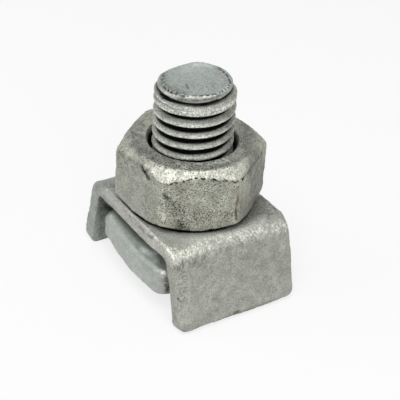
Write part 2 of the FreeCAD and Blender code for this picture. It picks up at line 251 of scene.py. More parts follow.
def addObject(name, data):
    holder = bpy.data.objects.new(name, data)
    bpy.context.scene.collection.objects.link(holder)
    return holder


# A mesh from a grid of points, rows by columns: neighbours are joined to four-sided faces,
# the last row is joined to the first if the grid is a ring, and points that fall together,
# at the seam, at a pole or where rows are squeezed flat, become one.
def gridPiece(name, points, ring=False):
    rows, columns = points.shape[:2]
    index = np.arange(rows * columns).reshape(rows, columns)
    if ring:
        index = np.vstack([index, index[:1]])
    faces = np.stack([index[:-1, :-1], index[:-1, 1:], index[1:, 1:], index[1:, :-1]], axis=-1)
    mesh = bpy.data.meshes.new(name)
    mesh.from_pydata((points.reshape(-1, 3) * mm).tolist(), [], faces.reshape(-1, 4).tolist())
    work = bmesh.new()
    work.from_mesh(mesh)
    bmesh.ops.remove_doubles(work, verts=work.verts, dist=1e-7)
    bmesh.ops.dissolve_degenerate(work, edges=work.edges, dist=1e-8)
    bmesh.ops.recalc_face_normals(work, faces=work.faces)
    if work.calc_volume(signed=True) < 0:
        bmesh.ops.reverse_faces(work, faces=work.faces)
    openEdges = sum(not edge.is_manifold for edge in work.edges)
    work.to_mesh(mesh)
    work.free()
    mesh.shade_smooth()
    triangles = sum(len(face.vertices) - 2 for face in mesh.polygons)
    print(name, "triangles:", triangles, "open edges:", openEdges)
    return addObject(name, mesh)


# Points and outward normals of a finished piece, the points in millimetres.
def pointsOf(piece):
    mesh = piece.data
    points = np.empty(len(mesh.vertices) * 3)
    normals = np.empty(len(mesh.vertices) * 3)
    mesh.vertices.foreach_get("co", points)
    mesh.vertex_normals.foreach_get("vector", normals)
    return points.reshape(-1, 3) / mm, normals.reshape(-1, 3)


# The zinc coat's lumps: fields of two sizes, cut off at their rare peaks, that swell and sink
# the surface along its normals. Share is how much of them each point takes. The piece is held
# inside its node's box, with the given room across.
def coatLumps(piece, node, coat, share=1, room=0):
    points, normals = pointsOf(piece)
    peak = coat["peak"]
    broad = np.clip(unevenField(points, coat["broadSize"], coat["seed"]), -peak, peak)
    fine = np.clip(unevenField(points, coat["fineSize"], coat["seed"] + 1), -peak, peak)
    height = coat["broadHeight"] * broad + coat["fineHeight"] * fine
    low, high = boxes[node]
    across = np.array([0, room, 0])
    moved = np.clip(points + normals * (height * share)[:, None], low - across, high + across)
    piece.data.vertices.foreach_set("co", (moved * mm).ravel())
    piece.data.update()


# Writes each layer's values, held between 0 and 1, for the material to read.
def paint(piece, layers):
    for name, values in layers.items():
        layer = piece.data.attributes.new(name, "FLOAT", "POINT")
        layer.data.foreach_set("value", np.clip(values, 0, 1).astype(np.float32))


# The thread's radius at a height and angle. One turn is a flat crest, a straight flank, a flat
# root and a flank back, with its corners softened by the ramp, and it climbs one pitch a turn.
def threadRadius(height, angle):
    phase = (height - thread["crestHeight"]) / thread["pitch"]
    phase = phase - (angle - math.radians(thread["crestAngle"])) / fullTurn
    fromCrest = np.abs(phase - np.round(phase)) * 2
    flank = 1 - thread["crestShare"] - thread["rootShare"]
    fall = np.clip((fromCrest - thread["crestShare"]) / flank, 0, 1)
    soft = thread["softness"] * fall * fall * (3 - 2 * fall) + (1 - thread["softness"]) * fall
    return thread["crestRadius"] - thread["depth"] * soft


# Heights of the thread's rows at each angle: the rows climb with the thread, and those that
# would leave the threaded length are squeezed onto its ends.
def threadHeights(low, high, angles):
    steps = thread["stepsPerTurn"]
    count = int(math.ceil((high - low) / thread["pitch"] * steps)) + steps
    rows = (np.arange(count + 1) - steps) * thread["pitch"] / steps
    climb = thread["pitch"] * (angles - angles[0])[None] / fullTurn
    return np.clip(low + rows[:, None] + climb, low, high)


# The look of the zinc. Sizes are millimetres and colours are linear. The bright colour also paints
# highlights, the glow colour paints light, and the grime colour and black also paint shade and shadow.
zincLook = {"seed": 1.0, "dark": (0.245, 0.25, 0.225), "pale": (0.4, 0.405, 0.37),
            "bright": (0.84, 0.84, 0.745), "glow": (0.8, 0.85, 0.79), "cool": (0.3, 0.34, 0.33),
            "speck": (0.03, 0.03, 0.024), "grimeAndShadeColour": (0.1, 0.1, 0.085), "rust": (0.15, 0.09, 0.075),
            "black": (0.004, 0.004, 0.004), "mottleSize": 1.2, "grainSize": 0.24, "sparkSize": 0.28,
            "speckSize": 0.2, "speckFrom": 0.62, "speckTo": 0.69, "speckShare": 0.75, "dirtPull": 0.14,
            "sparkLow": 0.1, "coolLow": 0.5, "glowLow": 0.8, "grimeAndShadeLow": 0.35, "grimeAndShadeHigh": 1.0,
            "grainDepth": 0.3, "metal": 0.5, "specular": 0.5, "roughLow": 0.42, "roughHigh": 0.6,
            "shinePolish": 0.08, "grainHeight": 0.026, "sparkHeight": 0.016}


# Procedural zinc: noises on Object coordinates, and the painted layers that they break up, which hold
# painted highlights, painted light, painted shade and painted shadow besides dirt, rust and tone. A
# noise's spread says how far it swings about its middle value of one half.
def zincMaterial(name, look):
    material = bpy.data.materials.new(name)
    material.use_nodes = True
    tree = material.node_tree
    shader = tree.nodes["Principled BSDF"]
    place = tree.nodes.new("ShaderNodeTexCoord").outputs["Object"]

    def link(value, socket):
        if hasattr(value, "is_linked"):
            tree.links.new(value, socket)
        else:
            socket.default_value = value

    def noise(size, seed, detail, spread):
        texture = tree.nodes.new("ShaderNodeTexNoise")
        texture.noise_dimensions = "4D"
        texture.inputs["Scale"].default_value = 1 / (size * mm)
        texture.inputs["W"].default_value = look["seed"] + seed
        texture.inputs["Detail"].default_value = detail
        tree.links.new(place, texture.inputs["Vector"])
        return spreadOut(texture.outputs["Fac"], 0.5 - spread, 0.5 + spread, 0, 1)

    def spreadOut(value, low, high, toLow, toHigh):
        node = tree.nodes.new("ShaderNodeMapRange")
        for socket, amount in zip(node.inputs[:5], (value, low, high, toLow, toHigh)):
            link(amount, socket)
        return node.outputs["Result"]

    def combined(operation, first, second):
        node = tree.nodes.new("ShaderNodeMath")
        node.operation = operation
        link(first, node.inputs[0])
        link(second, node.inputs[1])
        return node.outputs[0]

    def times(first, second):
        return combined("MULTIPLY", first, second)

    def mixed(first, second, share):
        node = tree.nodes.new("ShaderNodeMix")
        node.data_type = "RGBA"
        link(share, node.inputs[0])
        for socket, colour in zip(node.inputs[6:8], (first, second)):
            link((*colour, 1) if isinstance(colour, tuple) else colour, socket)
        return node.outputs[2]

    def painted(attribute):
        node = tree.nodes.new("ShaderNodeAttribute")
        node.attribute_name = attribute
        return node.outputs["Fac"]

    mottle = noise(look["mottleSize"], 1, detail=3, spread=0.2)
    grain = noise(look["grainSize"], 2, detail=2, spread=0.25)
    spark = noise(look["sparkSize"], 3, detail=1, spread=0.2)
    colour = mixed(look["dark"], look["pale"], mottle)
    cool = times(painted("cool"), spreadOut(mottle, 0, 1, 1, look["coolLow"]))
    colour = mixed(colour, look["cool"], cool)
    # painted light: the glow layer lifts the colour towards a pale tint
    glow = times(painted("glow"), spreadOut(grain, 0, 1, look["glowLow"], 1))
    colour = mixed(colour, look["glow"], glow)
    # rubbed zinc and painted highlights, broken up by sparkle
    shineAndHighlight = times(painted("shineAndHighlight"), spreadOut(spark, 0, 1, look["sparkLow"], 1))
    colour = mixed(colour, look["bright"], shineAndHighlight)
    colour = mixed(colour, look["rust"], painted("rust"))
    # grime and painted shade, broken up by the grain
    grimeAndShade = times(painted("grimeAndShade"), spreadOut(grain, 0, 1, look["grimeAndShadeHigh"], look["grimeAndShadeLow"]))
    colour = mixed(colour, look["grimeAndShadeColour"], grimeAndShade)
    # a speck shows where a fine noise tops a threshold, and the dirt painted there adds to the noise
    fleck = noise(look["speckSize"], 4, detail=2, spread=0.5)
    dirt = combined("ADD", fleck, times(painted("dirt"), look["dirtPull"]))
    specks = spreadOut(dirt, look["speckFrom"], look["speckTo"], 0, look["speckShare"])
    colour = mixed(colour, look["speck"], specks)
    # soot and painted shadow: black, with no specular
    colour = mixed(colour, look["black"], painted("sootAndShadow"))
    level = tree.nodes.new("ShaderNodeHueSaturation")
    link(spreadOut(grain, 0, 1, 1 - look["grainDepth"], 1 + look["grainDepth"]), level.inputs["Value"])
    link(colour, level.inputs["Color"])
    link(level.outputs["Color"], shader.inputs["Base Color"])
    link(spreadOut(painted("sootAndShadow"), 0, 1, look["specular"], 0), shader.inputs["Specular IOR Level"])
    # where light is painted, metallic is taken away, so that the pale colour shows fully in shade
    link(spreadOut(painted("glow"), 0, 1, look["metal"], 0), shader.inputs["Metallic"])
    roughness = spreadOut(mottle, 0, 1, look["roughHigh"], look["roughLow"])
    roughness = combined("SUBTRACT", roughness, times(shineAndHighlight, look["shinePolish"]))
    link(roughness, shader.inputs["Roughness"])
    height = combined("ADD", times(grain, look["grainHeight"]), times(spark, look["sparkHeight"]))
    bump = tree.nodes.new("ShaderNodeBump")
    bump.inputs["Strength"].default_value = 1.0
    bump.inputs["Distance"].default_value = mm
    link(height, bump.inputs["Height"])
    link(bump.outputs["Normal"], shader.inputs["Normal"])
    return material


# The folded plate. Of its marks, the bright ones, rubbed zinc and painted highlights, and the dark
# ones, grime and painted shade, are broken up by the zinc's grain; the glowing ones are painted light,
# nearly even; and the black ones are soot and painted shadow.
saddle = {
    "thickness": 2.2, "undersideHeight": 10.1, "flatLeft": 8.5, "flatRight": 8.8, "bendRadius": 2.2,
    "bendLeft": 79, "bendRight": 74.5, "legLeft": 9.38, "legRight": 9.64, "halfWidth": 9.68,
    "farSwell": 0.2, "swellSpan": (1, 7), "nearCorner": 1.5, "farCorner": 1.6, "holeRadius": 6.75,
    "upperRound": 0.4, "lowerRound": 0.12, "holeRound": 0.4, "burr": 0.16, "burrWidth": 0.7,
    "burrLeft": (-10, -8.5), "burrRight": (8, 5), "columns": 610, "faceRows": 60, "underSpread": 1.3,
    "wallRows": 9, "holeRows": 5,
    "coat": {"seed": 11, "peak": 1.5, "broadSize": 5.5, "broadHeight": 0.05, "fineSize": 1.4,
             "fineHeight": 0.03},
    "look": {"dark": (0.265, 0.27, 0.237), "pale": (0.385, 0.388, 0.342), "speckShare": 0.45},
    "wearAndShading": {"cool": 0.6, "coolSpan": (4, 11), "shadeDepth": 1, "shadeReach": 0.42, "shadeFade": 0.25,
             "dust": 0.3, "dustSize": 3, "dustSeed": 6, "dustSpan": (-0.2, 1)},
}
plateMarks = {
    "shineAndHighlight": {
        # rightBend, bendLeftEnd, nearEnd and edgeGrain are painted highlights on the bends and the near
        # cut edge; legGrain is the leg's own grain
        "rightBend": (6, 1.1, 0.5, [
            (172, 252), (181, 254), (196, 248), (218, 241.5), (240, 236), (264, 230), (284, 226)]),
        "bendLeftEnd": (4.5, 0.9, 0.35, [(175, 261), (188, 255), (204, 250)]),
        "nearEnd": (4, 1.2, 0.4, [(157, 239), (166, 248), (175, 259)]),
        "edgeGrain": (2.6, 0.45, 0.35, [(126, 211), (138, 222), (148, 232), (154, 240)]),
        "legGrain": (7, 0.3, 0.35, [(180, 266), (183, 300), (186, 320)]),
    },
    "glow": {
        # painted light that lifts the plate's top before the nut and its near cut edge, where they lie in
        # shade
        "topFront": (4.5, 0.38, 0, [
            (150, 227), (164, 235), (182, 239), (205, 239), (226, 235), (240, 230)]),
        "topRight": (6, 0.15, 0, [(245, 227), (262, 221)]),
        "cutEdge": (4.5, 0.22, 0, [(103, 191), (115, 204), (128, 219), (140, 232), (152, 245)]),
        "cornerEdge": (3.5, 0.12, 0, [(152, 244), (160, 254), (167, 266)]),
    },
    "grimeAndShade": {
        # edgeBorder, leftLegInside, behindNut and nutShade are painted shade and shadow: under the near
        # cut edge, inside the left leg and beside the nut
        "underBend": (5, 1.0, 0.7, [(178, 267), (190, 264), (202, 260)]),
        "belowBend": (2.4, 0.6, 0.8, [(206, 255), (226, 250), (244, 245)]),
        "legTop": (9, 0.14, 0, [(196, 274), (238, 268), (280, 262)]),
        "edgeBorder": (1.3, 0.8, 0.7, [(130, 216), (136, 222), (143, 231), (149, 236), (154, 239)]),
        "edgePits": (2.6, 0.5, 0.45, [(124, 211), (134, 222), (144, 232), (152, 240)]),
        "leftBend": (5, 0.55, 0, [(101, 187), (107, 184), (113, 185)]),
        "leftLegInside": (4.2, 1.0, 0, [(102, 200), (101.5, 236)]),
        "behindNut": (4, 1.2, 1.5, [(234, 222), (250, 211), (264, 197)]),
        "nutShade": (5.5, 1.1, 0, [(242, 223), (252, 216), (262, 204)]),
        "topRightDark": (9, 1.2, 0.5, [(264, 201), (272, 213)]),
    },
    "dirt": {
        "legSpecks": (7, 0.8, 0, [(180, 266), (184, 300)]),
    },
    "sootAndShadow": {
        # tipEdge is a painted shadow where the right leg's tip meets the floor
        "leftHole": (2.6, 0.8, 0, [(106, 206), (111, 209)]),
        "tipEdge": (0.8, 0.3, 0, [(187, 333), (232, 315), (281, 298)]),
        "edgeSpot": (1.2, 0.7, 0, [(151, 236.5), (151.5, 237.5)]),
        "legSpot": (1.2, 0.8, 0, [(178, 298.5), (178.4, 299.5)]),
        "tipSpot": (0.9, 0.9, 0, [(234, 313), (239, 311)]),
    },
}


# Folds the flat plate. along is the place along it, across the width, above the height over
# its middle layer. As far as the bend the plate is level; then it follows an arc of the bend's
# radius; past the arc it runs on straight. The height is laid off along the line's normal.
def foldPlate(along, across, above):
    right = along > 0
    flat = np.where(right, saddle["flatRight"], saddle["flatLeft"])
    fullBend = np.radians(np.where(right, saddle["bendRight"], saddle["bendLeft"]))
    radius = saddle["bendRadius"]
    past = np.abs(along) - flat
    bend = np.clip(past / radius, 0, fullBend)
    straight = np.clip(past - radius * fullBend, 0, None)
    outwards = np.minimum(np.abs(along), flat) + (radius + above) * np.sin(bend) + straight * np.cos(bend)
    middle = saddle["undersideHeight"] + saddle["thickness"] / 2
    height = middle + (radius + above) * np.cos(bend) - radius - straight * np.sin(bend)
    return np.stack([np.where(right, outwards, -outwards), across, height], axis=-1)


# One ring of rows: out over the upper face, round the cut edge, back under the lower face and
# up the hole's wall. Edge rows lie on a quarter circle between the face and the wall. The far
# edge stands out by farSwell over the right bend and falls back towards the leg's tip. Under the
# near edge hangs the burr of its cut, deepest at the edge and gone a millimetre or so inside.
def makeSaddlePiece():
    arcLeft = saddle["bendRadius"] * math.radians(saddle["bendLeft"])
    arcRight = saddle["bendRadius"] * math.radians(saddle["bendRight"])
    left = -(saddle["flatLeft"] + arcLeft + saddle["legLeft"])
    right = saddle["flatRight"] + arcRight + saddle["legRight"]
    wide = saddle["halfWidth"]
    near, far = saddle["nearCorner"], saddle["farCorner"]
    corners = [(left, -wide), (right, -wide), (right, wide), (left, wide)]
    outline = evenLoop(roundedPolygon(corners, [near, near, far, far]), saddle["columns"])
    start, full = saddle["swellSpan"]
    overBend = ramp(outline[:, 0], start, full) * ramp(outline[:, 0], right - start, right - full)
    outline[:, 1] += saddle["farSwell"] * overBend * ramp(outline[:, 1], 0, wide)
    outward = loopNormals(outline)
    fromHole = outline / np.linalg.norm(outline, axis=1, keepdims=True)
    half = saddle["thickness"] / 2
    edge, heel, lip = saddle["upperRound"], saddle["lowerRound"], saddle["holeRound"]
    inner, under = outline - outward * edge, outline - outward * heel
    rim = fromHole * (saddle["holeRadius"] + lip)
    share = np.linspace(0, 1, saddle["faceRows"])
    wall = np.linspace(half - edge, heel - half, saddle["wallRows"])[1:]
    holeWall = np.linspace(lip - half, half - lip, saddle["holeRows"])[1:]
    rows = [rowAt(rim + (inner - rim) * part, half) for part in share]
    rows += [rowAt(inner + outward * edge * s, half - edge * (1 - c)) for s, c in quarterSteps]
    rows += [rowAt(outline, height) for height in wall]
    rows += [rowAt(under + outward * heel * c, heel - half - heel * s) for s, c in quarterSteps]
    rows += [rowAt(under + (rim - under) * part, -half) for part in share[1:] ** saddle["underSpread"]]
    rows += [rowAt(rim - fromHole * lip * s, -half + lip * (1 - c)) for s, c in quarterSteps]
    rows += [rowAt(rim - fromHole * lip, height) for height in holeWall]
    rows += [rowAt(rim - fromHole * lip * c, half - lip + lip * s) for s, c in quarterSteps[:-1]]
    along, across, above = np.moveaxis(np.stack(rows), -1, 0)
    hanging = bell(across + wide, saddle["burrWidth"]) * ramp(along, *saddle["burrLeft"])
    hanging = hanging * ramp(along, *saddle["burrRight"]) * ramp(-above, 0, half)
    return gridPiece("saddlePlate", foldPlate(along, across, above - saddle["burr"] * hanging), ring=True)


# The plate is cooler towards its left leg, dusty in patches, and painted black under the nut as its
# shadow.
def finishSaddle():
    piece = makeSaddlePiece()
    coatLumps(piece, "saddle", saddle["coat"], room=saddle["farSwell"])
    points, normals = pointsOf(piece)
    x, y, z = points.T
    wearAndShading = saddle["wearAndShading"]
    layers = marksOn(points, normals, plateMarks)
    layers["cool"] += wearAndShading["cool"] * ramp(-x, *wearAndShading["coolSpan"])
    # painted shadow: black on the plate's top just round the nut's foot
    shaded = ramp(nut["lowRadius"] + wearAndShading["shadeReach"] - np.hypot(x, y), 0, wearAndShading["shadeFade"])
    layers["sootAndShadow"] += (z > plateTop - wearAndShading["shadeDepth"]) * shaded
    dust = unevenField(points, wearAndShading["dustSize"], wearAndShading["dustSeed"])
    layers["dirt"] += wearAndShading["dust"] * ramp(dust, *wearAndShading["dustSpan"])
    paint(piece, layers)
    piece.data.materials.append(zincMaterial("galvanisedPlate", {**zincLook, **saddle["look"]}))
    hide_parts("saddle")
    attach(piece, "saddle")


# The hexagon nut, as one grid of columns round it. Spans of facing run from 1 in front to -1 at
# the back, and spans of columns are the photograph's.
nut = {
    "acrossFlats": 19, "cornerAngle": 6, "cornerRound": 0.75, "mouthRadius": 6.65, "mouthSlope": 0.5,
    "columns": 440, "topRadius": 8.9, "topDepth": 1.05, "topCornerDepth": 1.5, "backDepth": 0.5,
    "backCornerDepth": 0.8, "backSpan": (0.3, -0.6), "lowRadius": 9.05, "lowDepth": 0.45,
    "lowCornerDepth": 1.3, "faceCut": 0.35, "ridgeCut": 0.28, "lowFaceCut": 0.12,
    "pathSteps": [11, 8, 44, 4, 7], "roundSteps": 6,
    "coat": {"seed": 23, "peak": 1.5, "broadSize": 4.0, "broadHeight": 0.04, "fineSize": 1.0,
             "fineHeight": 0.022},
    "look": {"seed": 7.0, "dark": (0.255, 0.258, 0.21), "pale": (0.43, 0.432, 0.358),
             "cool": (0.34, 0.36, 0.335), "speckShare": 0.85},
    "wearAndShading": {"upperDepth": 2.2, "edgeSpan": (-0.25, 0.1), "chamferTilt": (0.18, 0.42),
             "brightFacing": (0.3, 0.7), "rightEnd": (252, 243), "leftEnd": (143, 155), "leftShare": 0.25,
             "rubbedAndHighlit": {"level": 0.64, "swing": 0.25, "size": 1.2, "seed": 8}, "rightDrop": 0.1,
             "rightDropSpan": (190, 215), "topTilt": 0.8,
             "dullAndShade": {"level": 0.06, "swing": 0.2, "size": 1.1, "seed": 12},
             "mouthEdge": 0.05, "mouthFade": 0.35, "footTilt": 0.25, "footFade": 0.2,
             "footBack": 0.4, "footSpan": (-0.2, 0.2), "dirt": 0.25, "frontDirt": 0.25,
             "frontSpan": (0.6, 0.95), "brightClean": 0.3},
}
nutMarks = {
    "shineAndHighlight": {
        "leftCornerTop": (5, 0.2, 0.5, [(120, 148), (126, 150), (132, 153)]),
        "footSpot": (3, 1.2, 0.6, [(160, 210), (163, 219)]),
        "stainEdge": (8, 0.35, 0.5, [(168, 192), (178, 206), (189, 222)]),
    },
    "glow": {
        # painted light and sheen on the corner, the top chamfer and the front face
        "cornerSheen": (2, 0.15, 0, [(163, 187), (164, 206)]),
        "topSheen": (3.5, 0.65, 0.8, [(180, 165), (196, 166), (214, 164), (226, 159)]),
        "frontTop": (4.5, 0.1, 0, [(188, 188), (228, 188)]),
        "frontPale": (8, 0.08, 0, [(200, 198), (222, 204)]),
    },
    "cool": {
        "leftFace": (16, 0.45, 0, [(124, 160), (138, 205)]),
        "topFace": (9, 0.7, 0, [
            (136, 120), (137, 142), (158, 161), (192, 167), (226, 161), (247, 140), (244, 122)]),
    },
    "grimeAndShade": {
        # rightFace, rightShade, rightFoot, topRightShade, topShade, leftShade and footShade are painted
        # shade on the sides, the top and the foot
        "stain": (5.5, 0.6, 0.8, [(173, 203), (181, 212), (179, 226)]),
        "aboveStain": (3.5, 0.3, 0.7, [(166, 192), (172, 202)]),
        "underChamfer": (2.2, 0.4, 0.45, [(186, 186), (203, 184), (226, 186)]),
        "footShade": (3, 0.45, 0, [(172, 227), (200, 230), (228, 227)]),
        "leftShade": (12, 0.1, 0, [(124, 160), (138, 205)]),
        "topShade": (9, 0.32, 0, [(134, 122), (136, 144), (150, 158)]),
        "leftShoulder": (8, 0.7, 0.9, [(118, 156), (130, 164)]),
        "rightFace": (8, 1.0, 1.2, [(257, 164), (258, 185), (257, 203)]),
        "rightShade": (9, 0.75, 0, [(256, 162), (257, 198)]),
        "rightFoot": (5, 0.8, 0.8, [(242, 205), (245, 216)]),
        "topRightShade": (9, 0.8, 0, [(247, 124), (247, 146)]),
        "topRing": (1.5, 0.8, 0.6, [
            (131.7, 141), (139, 153.7), (153.5, 164.6), (181, 170.1), (210, 169.2), (235.5, 161),
            (248.3, 150)]),
        "topLeft": (9, 0.75, 1.2, [(136, 122), (136, 142), (148, 156)]),
        "topRight": (8, 0.6, 1.2, [(246, 126), (247, 144)]),
    },
    "dirt": {
        "stainSpecks": (7, 0.65, 0, [(172, 205), (181, 214), (182, 226)]),
        "frontSpecks": (7, 0.25, 0, [(184, 190), (224, 188)]),
        "lowSpecks": (7, 0.4, 0, [(196, 218), (228, 214)]),
        "topSpecks": (8, 0.25, 0, [
            (138, 124), (140, 145), (160, 162), (190, 168), (225, 162), (246, 140)]),
    },
    "rust": {
        "crack": (1.2, 0.9, 1.0, [(238.2, 194), (237.3, 202), (235.8, 211), (236, 219)]),
    },
    "sootAndShadow": {
        "rightRidge": (1.1, 1.0, 0.6, [(243, 179), (252, 167), (262, 153)]),
        "crease": (1.5, 0.9, 0, [(142, 166), (143.5, 171), (146, 174), (149, 179)]),
        "creaseBranch": (1.2, 0.6, 0, [(145, 171.5), (150, 169)]),
        "chamferBorder": (1.1, 1.5, 0.5, [
            (166.3, 184.7), (181, 182), (195.5, 178.3), (217.3, 180.1), (235.5, 182), (242.8, 179.2)]),
        "blotch": (2.0, 0.85, 0, [(164, 195), (168, 198.5)]),
        "lowSpot": (1.8, 1.0, 0.5, [(178, 223), (182, 225)]),
        "crackShade": (0.9, 0.65, 0, [(237, 201), (235.8, 210), (236.4, 219)]),
    },
}


# Each column is a path: out over the top face, down the chamfer, down the side, in by the lower
# chamfer and face, and up the threaded hole. The hole's lower mouth is cut back at 45 degrees,
# the upper one more steeply. A chamfer is deeper towards the corners, in proportion to how far
# they stand out from the flats, and the upper one is shallower at the back.
def makeNutPiece():
    corner = np.array([[nut["acrossFlats"] / math.sqrt(3), 0]])
    hexagon = [turned(corner, nut["cornerAngle"] + 60 * side)[0] for side in range(6)]
    outline = roundedPolygon(hexagon, [nut["cornerRound"]] * 6)
    around = evenLoop(outline, nut["columns"])
    angles = np.unwrap(np.arctan2(around[:, 1], around[:, 0]))
    radius = polarRadius(outline, angles)
    cornerShare = (radius - radius.min()) / (radius.max() - radius.min())
    atBack = ramp(np.cos(angles - math.radians(thread["crestAngle"])), *nut["backSpan"])
    flatDrop = nut["topDepth"] + (nut["backDepth"] - nut["topDepth"]) * atBack
    cornerDrop = nut["topCornerDepth"] + (nut["backCornerDepth"] - nut["topCornerDepth"]) * atBack
    drop = flatDrop + (cornerDrop - flatDrop) * cornerShare
    rise = nut["lowDepth"] + (nut["lowCornerDepth"] - nut["lowDepth"]) * cornerShare
    level = np.ones_like(angles)
    mouth, face, foot = (nut[key] * level for key in ("mouthRadius", "topRadius", "lowRadius"))
    upper, lower = nutTop * level, plateTop * level
    corners = [(mouth, upper), (face, upper), (radius, nutTop - drop), (radius, plateTop + rise),
               (foot, lower), (mouth, lower)]
    cuts = [0, nut["faceCut"], nut["ridgeCut"], nut["ridgeCut"], nut["lowFaceCut"], 0]
    columns = [np.stack(corner, axis=-1) for corner in corners]
    shell = roundedPath(columns, cuts, nut["pathSteps"], nut["roundSteps"])
    boreHeight = threadHeights(plateTop, nutTop, angles)[1:-1]
    bore = np.maximum(threadRadius(boreHeight, angles[None]) + thread["room"], thread["boreRadius"])
    bore = np.maximum(bore, nut["mouthRadius"] - nut["mouthSlope"] * (nutTop - boreHeight))
    bore = np.maximum(bore, nut["mouthRadius"] - (boreHeight - plateTop))
    out = np.concatenate([shell[..., 0], bore])
    up = np.concatenate([shell[..., 1], boreHeight])
    points = np.stack([out * np.cos(angles), out * np.sin(angles), up], axis=-1)
    return gridPiece("hexNut", points, ring=True)


# The nut's upper chamfer is painted bright at the front, rubbed zinc with a painted highlight; its
# top is painted darker, a dull film with painted shade; its bore and the gap under it are painted black
# as shade and shadow; and its front face is speckled with dirt.
def finishNut():
    piece = makeNutPiece()
    coatLumps(piece, "nut", nut["coat"])
    points, normals = pointsOf(piece)
    x, y, z = points.T
    wearAndShading = nut["wearAndShading"]
    layers = marksOn(points, normals, nutMarks)
    radius = np.hypot(x, y)
    facing = np.cos(np.arctan2(y, x) - math.radians(thread["crestAngle"]))
    column = pixelsOf(points)[:, 0]
    # the front of the upper chamfer: rubbed zinc with a painted highlight
    upper = z > nutTop - wearAndShading["upperDepth"]
    outside = ramp(radius, *np.add(nut["topRadius"], wearAndShading["edgeSpan"]))
    onChamfer = upper * outside * ramp(normals[:, 2], *wearAndShading["chamferTilt"])
    rubbedAndHighlit = onChamfer * ramp(facing, *wearAndShading["brightFacing"]) * ramp(column, *wearAndShading["rightEnd"])
    rubbedAndHighlit = rubbedAndHighlit * (wearAndShading["leftShare"] + (1 - wearAndShading["leftShare"]) * ramp(column, *wearAndShading["leftEnd"]))
    duller = wearAndShading["rightDrop"] * ramp(column, *wearAndShading["rightDropSpan"])
    layers["shineAndHighlight"] += rubbedAndHighlit * (unevenAmount(points, wearAndShading["rubbedAndHighlit"]) - duller)
    # the top faces are painted darker: a dull film with painted shade
    layers["grimeAndShade"] += upper * (normals[:, 2] > wearAndShading["topTilt"]) * unevenAmount(points, wearAndShading["dullAndShade"])
    # painted shade in the bore's mouth and painted shadow in the gap under the nut, both black
    inside = ramp(nut["mouthRadius"] - wearAndShading["mouthEdge"] - radius, 0, wearAndShading["mouthFade"])
    atFoot = z < plateTop + nut["lowCornerDepth"]
    gap = atFoot * ramp(-wearAndShading["footTilt"] - normals[:, 2], 0, wearAndShading["footFade"])
    gap = gap * (wearAndShading["footBack"] + (1 - wearAndShading["footBack"]) * ramp(facing, *wearAndShading["footSpan"]))
    layers["sootAndShadow"] += inside + gap
    layers["dirt"] += wearAndShading["dirt"] + wearAndShading["frontDirt"] * ramp(facing, *wearAndShading["frontSpan"])
    layers["dirt"] *= 1 - wearAndShading["brightClean"] * rubbedAndHighlit
    paint(piece, layers)
    piece.data.materials.append(zincMaterial("galvanisedNut", {**zincLook, **nut["look"]}))
    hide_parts("nut")
    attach(piece, "nut")


# The bolt, from the middle of its head's lower face to the middle of its end. Its climb and the
# widths of its climb and flare are in radians.
bolt = {
    "headThickness": 4.0, "halfWidth": 9.1, "halfLength": 9.35, "bulge": 0.8, "cornerRound": 1.9,
    "headTurn": -3, "topRound": 0.85, "leftShoulder": 0.7, "bottomRound": 0.28, "leftHeel": 0.5,
    "roundFrom": -3, "neckRadius": 5.82, "neckFlare": 0.5, "neckBlend": 1.2, "endRadius": 5.08,
    "rimSlope": 0.08, "rimLength": 1.22, "rimClimb": 0.45, "climbAngle": 1.4, "climbWidth": 0.9,
    "rimGroove": 0.36, "grooveBelow": 0.12, "grooveWidth": 0.17, "rimStep": 0.75, "rimStepReach": 1.2,
    "rimRound": 0.22, "rimFlare": 0.22, "flareAngle": 232, "flareWidth": 0.8, "flareReach": 0.8,
    "startDepth": 1.9, "fullDepth": 2.7, "flatReach": 4.42, "flatAngle": 187, "flatCurve": 0.3,
    "flatFrom": 0.5, "flatFade": 3, "columns": 324, "underRows": 12, "sideRows": 14, "topRows": 18,
    "endRows": 42,
    "coat": {"seed": 37, "peak": 1.5, "broadSize": 4.0, "broadHeight": 0.05, "fineSize": 1.2,
             "fineHeight": 0.02},
    "look": {"seed": 13.0, "dark": (0.298, 0.31, 0.28), "pale": (0.435, 0.448, 0.402),
             "cool": (0.325, 0.365, 0.352), "speckShare": 0.5, "grainDepth": 0.22},
    "wearAndShading": {"headEdge": 0.3, "threadCoat": 0.3, "headCool": 0.6, "endSkin": 0.05, "endDirt": 0.4,
             "threadDirt": 0.8, "firstTurn": (4.6, 3.4), "firstTurnLift": 0.2, "grooveSpan": (0.54, 0.62),
             "rimLine": 1.2, "rimLineBelow": 0.18, "rimLineWidth": 0.18, "crestDepth": 0.27,
             "crestFade": 0.12, "crestTilt": -0.04, "crestTiltWidth": 0.35, "flankTilt": (0.35, 0.75),
             "rubbedAndHighlit": {"level": 0.75, "swing": 0.8, "size": 0.5, "seed": 15}, "lift": 0.65,
             "liftSpan": (2, 8), "streaks": {"level": 0.12, "swing": 0.3, "size": 0.7, "seed": 19},
             "streakStretch": (1, 1, 2.5)},
}
